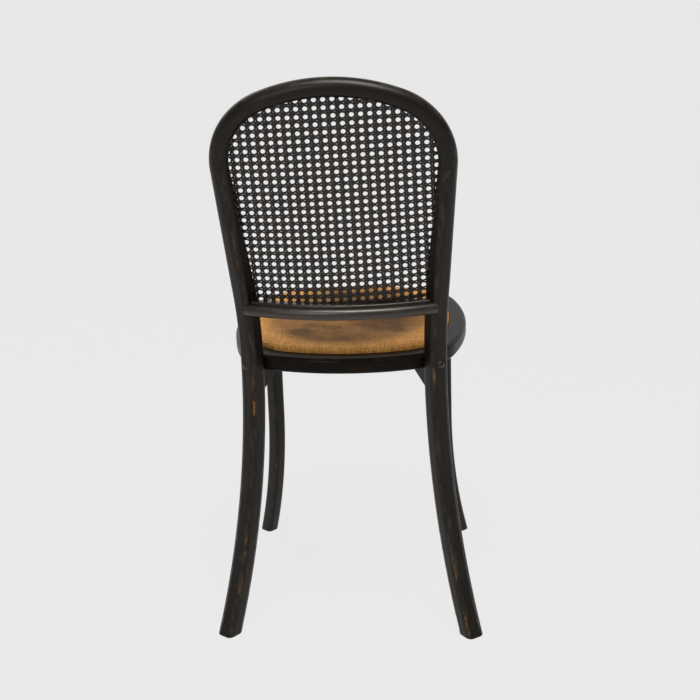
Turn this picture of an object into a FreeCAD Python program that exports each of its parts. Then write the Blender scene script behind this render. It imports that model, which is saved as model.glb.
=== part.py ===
import FreeCAD, Part
import math
import os

from Part import Geom2d

# Bentwood dining chair with a caned hoop back and a woven drop-in seat.
# The chair faces -Y and stands on Z = 0.  Every piece is modelled from the line
# between the two rear legs at seat height (Y = 0), and is moved at the end so
# that the origin is the bottom centre of the chair's box.

Vector = FreeCAD.Vector
Rotation = FreeCAD.Rotation
Placement = FreeCAD.Placement
UP = Vector(0, 0, 1)

# Lengths closer than this count as equal.
TINY = 0.01
# How many points stand for the rim of the caning when holes are kept clear of it.
RIM_SAMPLES = 240
# Halvings that find a point of the hoop by its height.
HALVINGS = 30
# Shares of the leg, the shoulder bend and the crown at which the caning's outline is drawn.
LEG_SHARES = (0.0, 0.3, 0.6, 0.9)
SHOULDER_SHARES = (0.2, 0.45, 0.7, 0.95)
CROWN_SHARES = (0.3, 0.65)

# Driving dimensions, in millimetres and degrees.
SIZES = {
    # rear legs and the hoop
    "overall_height": 892,
    "foot_half_spread": 194,
    "foot_rake": 59,
    "leg_half_spacing": 142,
    "joint_height": 438,
    "knee_rise": 70,
    "shoulder_half_spread": 164.5,
    "shoulder_rake": 67,
    "shoulder_drop": 135,
    "shoulder_radius": 104,
    "leg_turn": 37,
    "leg_width": 30.6,
    "leg_corner": 9.5,
    "foot_trim_angle": 3,
    "foot_round": 2.5,
    "arch_diameter": 28.4,
    "shoulder_dowel_diameter": 10,
    "shoulder_dowel_length": 50,
    # seat ring, in plan a rounded square of eight arcs
    "seat_setback": 188,
    "seat_half_width": 190,
    "seat_half_depth": 208,
    "seat_corner_inset_x": 119.5,
    "seat_corner_inset_y": 117,
    "seat_corner_radius": 106,
    "ring_top": 451,
    "ring_thickness": 25,
    "ring_width": 40,
    "ring_top_round": 7,
    "ring_bottom_round": 6,
    "rabbet_width": 13,
    "rabbet_depth": 6,
    # woven drop-in seat
    "seat_stand": 9,
    "weave_thickness": 3,
    "weave_clearance": 0.4,
    "board_clearance": 0.3,
    "seat_edge_round": 7,
    "board_screw_length": 22,
    "board_screw_inset": 34,
    # front legs
    "front_leg_half_spacing": 150,
    "front_leg_setback": 312,
    "front_foot_half_spread": 177,
    "front_foot_setback": 336,
    "front_bend_height": 240,
    "front_leg_turn": 50,
    "front_leg_width": 25,
    "front_leg_corner": 8,
    "tenon_diameter": 18,
    "tenon_length": 14,
    "tenon_overlap": 5,
    # lower back rail
    "rail_height": 535,
    "rail_end_setback": 16,
    "rail_bow": 31,
    "rail_tall": 22,
    "rail_front": 12,
    "rail_rear": 15,
    "rail_soften": 2.5,
    "lip_tall": 4,
    "lip_rear": 4,
    "rail_dowel_diameter": 8,
    "rail_dowel_length": 34,
    "rail_dowel_drop": 2.5,
    "rail_dowel_setback": 5,
    "rail_dowel_angle": 2.5,
    "dowel_end_gap": 0.5,
    # caning
    "cane_inset": 8,
    "cane_spare": 25,
    "cane_setback": 3,
    "cane_thickness": 2,
    "cane_clearance": 0.2,
    "rabbet_foot": 3,
    "cane_pitch": 27,
    "cane_hole": 20,
    "cane_margin": 2,
    "cane_bead_width": 4,
    "cane_bead_height": 4,
    # seat bolts, caps and brackets
    "bolt_diameter": 6,
    "bolt_projection": 3,
    "bolt_head_diameter": 10,
    "bolt_head_height": 4,
    "bolt_clearance": 0.15,
    "washer_diameter": 14,
    "washer_thickness": 1.5,
    "spotface_depth": 1,
    "nut_width": 10,
    "nut_height": 5,
    "counterbore_depth": 9,
    "cap_diameter": 12,
    "cap_dome": 3.4,
    "cap_stem": 3,
    "cap_sink": 0.4,
    "bracket_reach": 34,
    "bracket_drop": 30,
    "bracket_thickness": 18,
    "bracket_tip": 6,
    "bracket_screw_reach": 36,
    "bracket_screw_drop": 21,
    "bracket_screw_sink": 3,
    "screw_diameter": 4,
    "screw_head_diameter": 8,
    "screw_head_height": 2.4,
    "screw_length": 20,
    "screw_clearance": 0.1,
    "recess_reach": 20,
}

doc = FreeCAD.newDocument("bistro_chair")
sheet = doc.addObject("Spreadsheet::Sheet", "Sizes")
for row, (alias, value) in enumerate(SIZES.items(), 1):
    sheet.set("A%d" % row, alias)
    sheet.set("B%d" % row, str(value))
    sheet.setAlias("B%d" % row, alias)
doc.recompute()


def size(alias):
    return float(getattr(sheet, alias))


def piece(name, shape):
    """A piece whose form is drawn by curves and lofts."""
    item = doc.addObject("Part::Feature", name)
    item.Shape = shape
    return item


def primitive(kind, name, place, **expressions):
    """A plain solid whose sizes are bound to the sheet."""
    item = doc.addObject(kind, name)
    for prop, expression in expressions.items():
        item.setExpression(prop, expression)
    item.Placement = place
    return item


def along(point, direction):
    """A placement at a point with its own Z along a direction."""
    return Placement(point, Rotation(UP, direction))


def fuse(name, parts):
    item = doc.addObject("Part::MultiFuse", name)
    item.Shapes = parts
    item.Refine = False
    return item


def cut(name, base, tools):
    """A base with several separate tools taken out of it."""
    waste = group(name + "_waste", tools)
    item = doc.addObject("Part::Cut", name)
    item.Base = base
    item.Tool = waste
    item.Refine = False
    return item


def group(name, parts):
    item = doc.addObject("Part::Compound", name)
    item.Links = parts
    return item


# Bent wood: a flat section carried along straight stretches and round bends

class Bend:
    """A circular stretch of a centre line that starts at a point in a direction."""

    def __init__(self, start, heading, toward, radius):
        self.start = start
        self.heading = heading
        self.toward = toward
        self.radius = radius
        self.centre = start + toward * radius
        self.axis = heading.cross(toward)

    def turn(self, degrees):
        return Rotation(self.axis, degrees)

    def point(self, degrees):
        return self.centre + self.turn(degrees).multVec(self.start - self.centre)

    def direction(self, degrees):
        return self.turn(degrees).multVec(self.heading)

    def sweep(self, face, degrees):
        return face.revolve(self.centre, self.axis, degrees)

    def carry(self, face, degrees):
        """The same section at the far end of the bend."""
        moved = face.copy()
        moved.rotate(self.centre, self.axis, degrees)
        return moved


def squarish(centre, normal, outward, width, corner):
    """A square section with well rounded corners, one flat facing outward."""
    return framed(squarish_wire(width, corner), centre, normal, outward)


def squarish_wire(width, corner):
    """Eight edges in the XY plane, each corner arc followed by a flat."""
    flat = width / 2 - corner
    edges = []
    for quarter in range(4):
        turn = Rotation(UP, 90 * quarter)
        centre = turn.multVec(Vector(flat, flat, 0))
        circle = Part.Circle(centre, UP, corner)
        start = math.pi / 2 * quarter
        edges.append(Part.ArcOfCircle(circle, start, start + math.pi / 2).toShape())
        first = turn.multVec(Vector(flat, flat + corner, 0))
        second = turn.multVec(Vector(-flat, flat + corner, 0))
        edges.append(Part.LineSegment(first, second).toShape())
    return Part.Wire(edges)


def round_wire(diameter, width, corner):
    """A circle in eight arcs that answer the eight edges of a squarish section."""
    flat = width / 2 - corner
    half_corner = math.pi / 4 - math.atan2(flat, width / 2)
    circle = Part.Circle(Vector(0, 0, 0), UP, diameter / 2)
    edges = []
    for quarter in range(4):
        middle = math.pi / 4 + math.pi / 2 * quarter
        edges.append(Part.ArcOfCircle(circle, middle - half_corner, middle + half_corner).toShape())
        edges.append(Part.ArcOfCircle(circle, middle + half_corner,
                                      middle + math.pi / 2 - half_corner).toShape())
    return Part.Wire(edges)


def framed(wire, centre, normal, outward):
    """A wire of the XY plane set square to a centre line, its X toward outward."""
    first = outward - normal * outward.dot(normal)
    first.normalize()
    moved = wire.copy()
    moved.Placement = Placement(centre, Rotation(first, Vector(), normal, "ZXY"))
    return moved


def blend(start, end, share):
    return start + (end - start) * share


# Centre lines of the rear legs and the hoop

def shoulder_height():
    """The shoulders stand a set distance under the top of the hoop."""
    return size("overall_height") - size("shoulder_drop")


def seat_joint(side):
    return Vector(side * size("leg_half_spacing"), 0, size("joint_height"))


def lower_bend(side):
    """From plumb at the seat down to the splayed foot."""
    reach = Vector(side * (size("foot_half_spread") - size("leg_half_spacing")), size("foot_rake"), 0)
    drop = size("joint_height")
    radius = (drop ** 2 + reach.Length ** 2) / (2 * reach.Length)
    return Bend(seat_joint(side), UP * -1, reach.normalize(), radius)


def lean(side):
    """Plan direction in which the upper leg leans, and how far it leans at the shoulder."""
    return Vector(side * (size("shoulder_half_spread") - size("leg_half_spacing")),
                  size("shoulder_rake"), 0)


def knee_height():
    return size("joint_height") + size("knee_rise")


def lean_angle(side):
    return math.degrees(math.atan2(lean(side).Length, shoulder_height() - knee_height()))


def upper_bend(side):
    """From plumb at the seat back to the straight, leaning stretch."""
    radius = size("knee_rise") / math.tan(math.radians(lean_angle(side) / 2))
    return Bend(seat_joint(side), UP, lean(side).normalize(), radius)


def shoulder(side):
    return Vector(side * size("shoulder_half_spread"), size("shoulder_rake"), shoulder_height())


def shoulder_direction(side):
    return upper_bend(side).direction(lean_angle(side))


def hoop_up():
    """Upward direction within the leaning plane of the hoop."""
    direction = shoulder_direction(1)
    return Vector(0, direction.y, direction.z).normalize()


def arch_height():
    """Height of the crown's centre line over the shoulders, along the leaning plane."""
    rise = size("overall_height") - size("arch_diameter") / 2 - shoulder_height()
    return rise / hoop_up().z


def shoulder_bend(side):
    direction = shoulder_direction(side)
    inward = hoop_up() * (direction.dot(Vector(side, 0, 0)))
    inward -= Vector(side, 0, 0) * direction.dot(hoop_up())
    return Bend(shoulder(side), direction, inward.normalize(), size("shoulder_radius"))


def crown_radius():
    """Radius of the crown's arc, tangent to both shoulder arcs."""
    centre = shoulder_bend(1).centre - shoulder(1)
    across = size("shoulder_half_spread") + centre.x
    return tangent_arc_radius(arch_height(), centre.dot(hoop_up()), across, size("shoulder_radius"))


def crown_half_angle():
    across = size("shoulder_half_spread") + (shoulder_bend(1).centre - shoulder(1)).x
    return math.degrees(math.asin(across / (crown_radius() - size("shoulder_radius"))))


def shoulder_turn():
    """How far the shoulder arc turns before the crown's arc begins."""
    splay = math.degrees(math.asin(abs(shoulder_direction(1).x)))
    return 90 + splay - crown_half_angle()


def crown_bend():
    """The crown's arc, from its left end to its right end."""
    first = shoulder_bend(1)
    start = first.point(shoulder_turn())
    heading = first.direction(shoulder_turn())
    return Bend(start, heading, (first.centre - start).normalize(), crown_radius())


def arch_apex():
    return crown_bend().point(crown_half_angle())


# Solids of the bent pieces

def leg_outward(side):
    turn = math.radians(size("leg_turn"))
    return Vector(side * math.sin(turn), math.cos(turn), 0)


def above_floor(solid):
    """The part of a leg above the floor, its lower edge softened."""
    reach = size("overall_height")
    below = Part.makeBox(2 * reach, 2 * reach, reach, Vector(-reach, -reach, -reach))
    leg = solid.cut(below)
    rim = [edge for edge in leg.Edges if edge.BoundBox.ZMax < TINY]
    return leg.makeFillet(size("foot_round"), rim)


def rear_leg(side):
    width = size("leg_width")
    corner = size("leg_corner")
    outward = leg_outward(side)
    lower = lower_bend(side)
    upper = upper_bend(side)
    section = Part.Face(squarish(seat_joint(side), UP, outward, width, corner))
    foot_angle = math.degrees(math.asin(size("joint_height") / lower.radius))
    low = lower.sweep(section, foot_angle + size("foot_trim_angle"))
    angle = lean_angle(side)
    middle = upper.sweep(section, angle)
    heading = upper.direction(angle)
    start = framed(squarish_wire(width, corner), upper.point(angle), heading, outward)
    round_end = round_wire(size("arch_diameter"), width, corner)
    end = framed(round_end, shoulder(side), heading, outward)
    top = Part.makeLoft([start, end], True, True)
    return above_floor(low.fuse([middle, top]))


def top_arch():
    """Two shoulder bends and the crown between them, in one round bar."""
    first = shoulder_bend(1)
    circle = Part.makeCircle(size("arch_diameter") / 2, first.start, first.heading)
    section = Part.Face(Part.Wire(circle))
    turn = shoulder_turn()
    crown = crown_bend()
    left = first.sweep(section, turn)
    middle_section = first.carry(section, turn)
    middle = crown.sweep(middle_section, 2 * crown_half_angle())
    last = shoulder_bend(-1)
    circle = Part.makeCircle(size("arch_diameter") / 2, last.start, last.heading)
    right = last.sweep(Part.Face(Part.Wire(circle)), turn)
    return left.fuse([middle, right])


def front_bend(side):
    """From plumb under the seat to the splayed front foot."""
    start = Vector(side * size("front_leg_half_spacing"), -size("front_leg_setback"),
                   size("front_bend_height"))
    reach = Vector(side * (size("front_foot_half_spread") - size("front_leg_half_spacing")),
                   size("front_leg_setback") - size("front_foot_setback"), 0)
    radius = (start.z ** 2 + reach.Length ** 2) / (2 * reach.Length)
    return Bend(start, UP * -1, reach.normalize(), radius)


def front_leg(side):
    bend = front_bend(side)
    turn = math.radians(size("front_leg_turn"))
    outward = Vector(side * math.sin(turn), -math.cos(turn), 0)
    outline = squarish(bend.start, UP, outward, size("front_leg_width"), size("front_leg_corner"))
    section = Part.Face(outline)
    plumb = section.extrude(UP * (size("ring_top") - size("ring_thickness") - bend.start.z))
    foot_angle = math.degrees(math.asin(bend.start.z / bend.radius))
    low = bend.sweep(section, foot_angle + size("foot_trim_angle"))
    return above_floor(low.fuse(plumb))


# Seat plan: two ends, two sides and four corners, all tangent arcs

def seat_centre():
    return Vector(0, -size("seat_setback"), 0)


def tangent_arc_radius(half, near, far, corner):
    """Radius of the long arc that meets a corner arc and passes the mid-side."""
    return (corner ** 2 - (near - half) ** 2 - far ** 2) / (2 * (near - half + corner))


def plan_arcs(inset):
    """The eight arcs of the seat's plan, set in from the outside, about its centre."""
    half_x = size("seat_half_width")
    half_y = size("seat_half_depth")
    corner_x = half_x - size("seat_corner_inset_x")
    corner_y = half_y - size("seat_corner_inset_y")
    corner = size("seat_corner_radius")
    side_radius = tangent_arc_radius(half_x, corner_x, corner_y, corner)
    end_radius = tangent_arc_radius(half_y, corner_y, corner_x, corner)
    side_middle = half_x - side_radius
    end_middle = half_y - end_radius
    low = math.atan2(corner_y, corner_x - side_middle)
    high = math.atan2(corner_y - end_middle, corner_x)
    spans = [
        (side_middle, 0, side_radius, -low, low),
        (corner_x, corner_y, corner, low, high),
        (0, end_middle, end_radius, high, math.pi - high),
        (-corner_x, corner_y, corner, math.pi - high, math.pi - low),
        (-side_middle, 0, side_radius, math.pi - low, math.pi + low),
        (-corner_x, -corner_y, corner, math.pi + low, math.pi + high),
        (0, -end_middle, end_radius, math.pi + high, 2 * math.pi - high),
        (corner_x, -corner_y, corner, 2 * math.pi - high, 2 * math.pi - low),
    ]
    arcs = []
    for x, y, radius, start, stop in spans:
        circle = Part.Circle(Vector(x, y, 0), UP, radius - inset)
        arcs.append(Part.ArcOfCircle(circle, start, stop))
    return arcs


def plan_face(inset, height):
    wire = Part.Wire([arc.toShape() for arc in plan_arcs(inset)])
    face = Part.Face(wire)
    face.translate(seat_centre() + UP * height)
    return face


def origin_plane(body, role):
    for feature in body.Origin.OriginFeatures:
        if feature.Role == role:
            return feature
    raise ValueError(role)


def plan_sketch(body, name, insets, height):
    """A sketch on the body's XY plane, raised, with one seat outline for each inset."""
    sketch = body.newObject("Sketcher::SketchObject", name)
    sketch.AttachmentSupport = [(origin_plane(body, "XY_Plane"), "")]
    sketch.MapMode = "FlatFace"
    sketch.setExpression("AttachmentOffset.Base.z", height)
    for inset in insets:
        for arc in plan_arcs(inset):
            sketch.addGeometry(arc, False)
    return sketch


def seat_ring_body():
    """The bent ring: a padded plan with a rabbet for the seat and rounded edges."""
    body = doc.addObject("PartDesign::Body", "ring_blank")
    outline = plan_sketch(body, "ring_plan", [0, size("ring_width")],
                          "Sizes.ring_top - Sizes.ring_thickness")
    pad = body.newObject("PartDesign::Pad", "ring_pad")
    pad.Profile = outline
    pad.setExpression("Length", "Sizes.ring_thickness")
    rabbet_inset = size("ring_width") - size("rabbet_width")
    rabbet_plan = plan_sketch(body, "rabbet_plan", [rabbet_inset], "Sizes.ring_top")
    rabbet = body.newObject("PartDesign::Pocket", "ring_rabbet")
    rabbet.Profile = rabbet_plan
    rabbet.setExpression("Length", "Sizes.rabbet_depth")
    doc.recompute()
    top_edges = outer_edges(rabbet.Shape, size("ring_top"))
    top_round = body.newObject("PartDesign::Fillet", "ring_top_round")
    top_round.Base = (rabbet, top_edges)
    top_round.setExpression("Radius", "Sizes.ring_top_round")
    doc.recompute()
    bottom_edges = outer_edges(top_round.Shape, size("ring_top") - size("ring_thickness"))
    bottom_round = body.newObject("PartDesign::Fillet", "ring_bottom_round")
    bottom_round.Base = (top_round, bottom_edges)
    bottom_round.setExpression("Radius", "Sizes.ring_bottom_round")
    doc.recompute()
    body.Placement = Placement(seat_centre(), Rotation())
    return body


def outer_edges(shape, height):
    """Names of the edges of the outside outline that lie at one height."""
    radii = [arc.Radius for arc in plan_arcs(0)]
    names = []
    for index, edge in enumerate(shape.Edges, 1):
        flat = abs(edge.BoundBox.ZMin - height) < TINY and abs(edge.BoundBox.ZMax - height) < TINY
        if flat and min(abs(edge.Curve.Radius - radius) for radius in radii) < TINY:
            names.append("Edge%d" % index)
    return names


def seat_block(inset, bottom, top, edge_round):
    """A seat-shaped block with a rounded upper edge."""
    block = plan_face(inset, bottom).extrude(UP * (top - bottom))
    upper = [edge for edge in block.Edges if edge.BoundBox.ZMin > top - TINY]
    return block.makeFillet(edge_round, upper)


# Caned back: one sheet on a gently bowed surface, held in a rabbet by a bead

def rail_radius():
    half = size("leg_half_spacing")
    bow = size("rail_bow")
    return (half ** 2 + bow ** 2) / (2 * bow)


def rail_axis_y():
    """Where the upright axis of the bowed rail stands, in front of the back."""
    return size("rail_end_setback") + size("rail_bow") - rail_radius()


def inner_point(point, heading, side, inset):
    """A point on a centre line moved toward the middle of the back, seen from the rear."""
    flat = Vector(heading.x, 0, heading.z).normalize()
    return point + Vector(-side * abs(flat.z), 0, side * flat.x) * inset


def leg_point(side, height):
    """The point and direction of a rear leg's upper centre line at a height."""
    bend = upper_bend(side)
    angle = lean_angle(side)
    if height < bend.point(angle).z:
        angle = math.degrees(math.asin((height - size("joint_height")) / bend.radius))
        return bend.point(angle), bend.direction(angle)
    heading = bend.direction(angle)
    rest = (height - bend.point(angle).z) / heading.z
    return bend.point(angle) + heading * rest, heading


def back_side_points(side, inset, bottom):
    """Points up one side of the back, from the rail nearly to the crown."""
    points = []
    for share in LEG_SHARES:
        point, heading = leg_point(side, blend(bottom, shoulder_height(), share))
        points.append(inner_point(point, heading, side, inset))
    bend = shoulder_bend(side)
    for share in SHOULDER_SHARES:
        angle = shoulder_turn() * share
        points.append(inner_point(bend.point(angle), bend.direction(angle), side, inset))
    crown = crown_bend()
    for share in CROWN_SHARES:
        angle = crown_half_angle() * share
        point = crown.point(angle)
        heading = crown.direction(angle)
        if side < 0:
            point = Vector(-point.x, point.y, point.z)
            heading = Vector(-heading.x, heading.y, heading.z)
        points.append(inner_point(point, heading, side, inset))
    return points


def back_points(inset, bottom):
    """Points round the opening in the back, set in from the frame's centre line."""
    left = back_side_points(1, inset, bottom)
    right = back_side_points(-1, inset, bottom)
    crown = arch_apex() - UP * inset
    return [Vector(point.x, 0, point.z) for point in left + [crown] + right[::-1]]


def back_outline(inset, bottom):
    """The flat outline of the opening in the back, closed by a straight foot."""
    points = back_points(inset, bottom)
    hoop = Part.BSplineCurve()
    hoop.interpolate(points)
    foot = Part.LineSegment(points[-1], points[0])
    return Part.Wire([hoop.toShape(), foot.toShape()])


def through(face):
    """A flat face in the back's upright plane pushed right through the chair's back."""
    reach = size("seat_half_depth")
    face.translate(Vector(0, reach, 0))
    return face.extrude(Vector(0, -2 * reach, 0))


def frame_at_height(height):
    """A point of the left side's centre line at a height, for the leg or the arch."""
    if height <= shoulder_height():
        return leg_point(1, height)[0]
    bend = shoulder_bend(1)
    low = 0.0
    high = shoulder_turn()
    for _ in range(HALVINGS):
        angle = (low + high) / 2
        if bend.point(angle).z < height:
            low = angle
        else:
            high = angle
    return bend.point(high) if high < shoulder_turn() - TINY else arch_apex()


def cubic_poles(values):
    """Poles of the cubic that passes through four evenly spaced values."""
    first, second, third, last = values
    inner_low = (-5 * first + 18 * second - 9 * third + 2 * last) / 6
    inner_high = (2 * first - 9 * second + 18 * third - 5 * last) / 6
    return [first, inner_low, inner_high, last]


def cane_foot():
    """Height of the lower edge of the bowed surface, well under the opening."""
    return cane_bottom() - size("cane_spare")


def cane_half_span():
    """Half the width of the bowed surface, wider than the opening."""
    return size("shoulder_half_spread") + size("cane_spare")


def cane_surface():
    """Where the sheet's rear face lies: bowed most at the rail and flat at the crown."""
    span = cane_half_span()
    top = size("overall_height")
    fullest = size("rail_bow") * (span / size("leg_half_spacing")) ** 2
    heights = [top + (cane_foot() - top) * (3 - step) / 3 for step in range(4)]
    edges = []
    bows = []
    for height in heights:
        frame = frame_at_height(height)
        bow = fullest * (top - height) / (top - size("rail_height"))
        reach = frame.x - size("cane_inset")
        edges.append(frame.y - size("cane_setback") - bow * (1 - (reach / span) ** 2))
        bows.append(bow)
    surface = Part.BezierSurface()
    surface.increase(2, 3)
    for row, (height, edge, bow) in enumerate(zip(heights, cubic_poles(edges), cubic_poles(bows)), 1):
        surface.setPole(1, row, Vector(-span, edge, height))
        surface.setPole(2, row, Vector(0, edge + 2 * bow, height))
        surface.setPole(3, row, Vector(span, edge, height))
    return surface


def cane_slab(front_shift, thickness):
    """A bowed sheet wider than the back, its rear face shifted toward the sitter."""
    face = cane_surface().toShape()
    face.translate(Vector(0, -front_shift, 0))
    return face.extrude(Vector(0, -thickness, 0))


def cane_bottom():
    return size("rail_height") + size("rabbet_foot")


def rabbet_block():
    """What is cut from the frame so that the cane can be laid in from the front."""
    prism = through(Part.Face(back_outline(size("cane_inset"), cane_bottom())))
    return prism.common(cane_slab(0, size("seat_half_width")))


def on_sheet(point):
    """A point of the flat outline as a pair of shares across and up the bowed surface."""
    span = cane_half_span()
    rise = (point.z - cane_foot()) / (size("overall_height") - cane_foot())
    return FreeCAD.Base.Vector2d((point.x + span) / (2 * span), rise)


def cane_panel():
    """The sheet of caning, pierced by a grid of six-sided openings."""
    clearance = size("cane_clearance")
    outline = back_outline(size("cane_inset") + clearance, cane_bottom() + clearance)
    flat = Part.Face(outline)
    rim_points = outline.discretize(RIM_SAMPLES)
    face = cane_surface().toShape().common(through(flat.copy())).Faces[0]
    margin = size("cane_bead_width") + size("cane_margin") + size("cane_hole") / 2
    wires = []
    for centre in hole_centres():
        clear = min(centre.distanceToPoint(point) for point in rim_points) > margin
        if clear and flat.isInside(centre, TINY, True):
            spots = [on_sheet(corner) for corner in hexagon(centre, size("cane_hole"))]
            sides = [Geom2d.Line2dSegment(start, end) for start, end in zip(spots, spots[1:])]
            wires.append(Part.Wire([side.toShape(face) for side in sides]))
    face.cutHoles(wires)
    face.validate()
    return face.extrude(Vector(0, -size("cane_thickness"), 0))


def hole_centres():
    """A staggered grid over the whole back; those too near the frame are left out later."""
    pitch = size("cane_pitch")
    columns = int(cane_half_span() / pitch)
    row_step = pitch * math.cos(math.pi / 6)
    rows = int((size("overall_height") - cane_bottom()) / row_step)
    centres = []
    for row in range(rows):
        stagger = pitch / 2 * (row % 2)
        for column in range(-columns, columns + 1):
            centres.append(Vector(column * pitch + stagger, 0, cane_bottom() + row * row_step))
    return centres


def hexagon(centre, width):
    """Corners of a six-sided opening, first corner repeated at the end."""
    radius = width / 2 / math.cos(math.pi / 6)
    angles = [math.pi / 6 + math.pi / 3 * step for step in range(7)]
    return [centre + Vector(math.cos(angle), 0, math.sin(angle)) * radius for angle in angles]


def cane_bead():
    """The strip laid over the edge of the sheet, all round the opening."""
    clearance = size("cane_clearance")
    bottom = cane_bottom() + clearance
    outer = back_outline(size("cane_inset") + clearance, bottom)
    width = size("cane_bead_width")
    inner = back_outline(size("cane_inset") + clearance + width, bottom + width)
    prism = through(Part.Face([outer, inner], "Part::FaceMakerBullseye"))
    return prism.common(cane_slab(size("cane_thickness"), size("cane_bead_height")))


# Lower back rail: a lipped half-round section turned about an upright axis

def rail_body():
    body = doc.addObject("PartDesign::Body", "rail_blank")
    sketch = body.newObject("Sketcher::SketchObject", "rail_section")
    sketch.AttachmentSupport = [(origin_plane(body, "XZ_Plane"), "")]
    sketch.MapMode = "FlatFace"
    path = rail_radius()
    half = size("rail_tall") / 2
    front = path - size("rail_front")
    lip = path + size("lip_rear")
    rear = path + size("rail_rear")
    valley = half - size("lip_tall")
    belly = valley + half
    soften = size("rail_soften")
    body_middle = (valley - half) / 2
    points = [
        Vector(front, half, 0),
        Vector(lip - soften, half, 0),
        Vector(lip, half - soften, 0),
        Vector(lip, valley, 0),
        Vector(lip, -half, 0),
        Vector(front + soften, -half, 0),
        Vector(front, soften - half, 0),
    ]
    bulge = Vector(rear, body_middle, 0)
    for start, end in ((0, 1), (2, 3), (4, 5), (6, 0)):
        sketch.addGeometry(Part.LineSegment(points[start], points[end]), False)
    sketch.addGeometry(Part.Arc(points[3], bulge, points[4]), False)
    corner = math.sqrt(0.5) * soften
    top_middle = Vector(lip - soften + corner, half - soften + corner, 0)
    low_middle = Vector(front + soften - corner, soften - half - corner, 0)
    sketch.addGeometry(Part.Arc(points[1], top_middle, points[2]), False)
    sketch.addGeometry(Part.Arc(points[5], low_middle, points[6]), False)
    doc.recompute()
    turn = body.newObject("PartDesign::Revolution", "rail_turn")
    turn.Profile = sketch
    turn.ReferenceAxis = (sketch, ["V_Axis"])
    turn.Angle = 2 * rail_half_angle()
    doc.recompute()
    return body


def rail_half_angle():
    return math.degrees(math.asin(size("leg_half_spacing") / rail_radius()))


# Directions and points at the seat joint

def corner_centre(side):
    across = size("seat_half_width") - size("seat_corner_inset_x")
    back = size("seat_half_depth") - size("seat_corner_inset_y") - size("seat_setback")
    return Vector(side * across, back, 0)


def outward(side):
    """From a rear corner of the ring toward the leg bolted to it."""
    return (Vector(side * size("leg_half_spacing"), 0, 0) - corner_centre(side)).normalize()


def on_bolt_line(side, reach, height):
    """A point on the line through ring and leg, measured outward from the leg's centre."""
    point = Vector(side * size("leg_half_spacing"), 0, height)
    return point + outward(side) * reach


def ring_inner_reach(side):
    """Where the ring's inner wall lies on the bolt line."""
    gap = Vector(side * size("leg_half_spacing"), 0, 0) - corner_centre(side)
    return size("seat_corner_radius") - size("ring_width") - gap.Length


def cylinder(name, place, radius, height):
    return primitive("Part::Cylinder", name, place, Radius=radius, Height=height)


def bracket_body(side, tag):
    """A three-cornered block under the ring, against the rear leg."""
    body = doc.addObject("PartDesign::Body", "bracket_blank_" + tag)
    sketch = body.newObject("Sketcher::SketchObject", "bracket_side_" + tag)
    sketch.AttachmentSupport = [(origin_plane(body, "XZ_Plane"), "")]
    sketch.MapMode = "FlatFace"
    sketch.setExpression("AttachmentOffset.Base.z", "-Sizes.bracket_thickness / 2")
    ring_bottom = size("ring_top") - size("ring_thickness")
    face = -size("leg_width") / 2
    points = [
        Vector(0, ring_bottom, 0),
        Vector(face - size("bracket_reach"), ring_bottom, 0),
        Vector(face - size("bracket_reach"), ring_bottom - size("bracket_tip"), 0),
        Vector(face, ring_bottom - size("bracket_drop"), 0),
        Vector(0, ring_bottom - size("bracket_drop"), 0),
    ]
    for start, end in zip(points, points[1:] + points[:1]):
        sketch.addGeometry(Part.LineSegment(start, end), False)
    doc.recompute()
    pad = body.newObject("PartDesign::Pad", "bracket_pad_" + tag)
    pad.Profile = sketch
    pad.setExpression("Length", "Sizes.bracket_thickness")
    direction = outward(side)
    turn = math.degrees(math.atan2(direction.y, direction.x))
    body.Placement = Placement(on_bolt_line(side, 0, 0), Rotation(UP, turn))
    return body


def screw(name, point, direction):
    """A pan-head screw whose head rests at a point and whose shank runs along a direction."""
    shank = cylinder(name + "_shank", along(point, direction), "Sizes.screw_diameter / 2",
                     "Sizes.screw_length")
    head = cylinder(name + "_head", along(point, direction * -1), "Sizes.screw_head_diameter / 2",
                    "Sizes.screw_head_height")
    return fuse(name, [shank, head])


def screw_bore(name, point, direction, length="Sizes.screw_length"):
    """The hole for a screw, with a wider recess for its head."""
    shank = cylinder(name + "_hole", along(point, direction),
                     "Sizes.screw_diameter / 2 + Sizes.screw_clearance",
                     length + " + Sizes.screw_clearance")
    recess = cylinder(name + "_recess", along(point, direction * -1),
                      "Sizes.screw_head_diameter / 2 + Sizes.screw_clearance", "Sizes.recess_reach")
    return fuse(name, [shank, recess])


# The pieces of the chair, by name

SIDES = ((1, "left"), (-1, "right"))
nodes = {}

leg_blanks = {tag: piece("leg_blank_" + tag, rear_leg(side)) for side, tag in SIDES}
rabbet = piece("cane_rabbet", rabbet_block())
ring_blank = seat_ring_body()
rail_blank = rail_body()
rail_blank.Placement = Placement(Vector(0, rail_axis_y(), size("rail_height")),
                                 Rotation(UP, 90 - rail_half_angle()))
ring_bottom = size("ring_top") - size("ring_thickness")
bolt_height = size("joint_height")
leg_cuts = {"left": [], "right": []}
ring_cuts = []
arch_cuts = [rabbet]
rail_cuts = [rabbet]

# Dowels at the shoulders, half in the leg and half in the arch.
dowels = []
for side, tag in SIDES:
    direction = shoulder_direction(side)
    start = shoulder(side) - direction * (size("shoulder_dowel_length") / 2)
    dowels.append(cylinder("shoulder_dowel_" + tag, along(start, direction),
                           "Sizes.shoulder_dowel_diameter / 2", "Sizes.shoulder_dowel_length"))
    hole = cylinder("shoulder_hole_" + tag,
                    along(start - direction * size("dowel_end_gap"), direction),
                    "Sizes.shoulder_dowel_diameter / 2",
                    "Sizes.shoulder_dowel_length + 2 * Sizes.dowel_end_gap")
    leg_cuts[tag].append(hole)
    arch_cuts.append(hole)
nodes["shoulder_dowels"] = group("shoulder_dowels", dowels)

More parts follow.
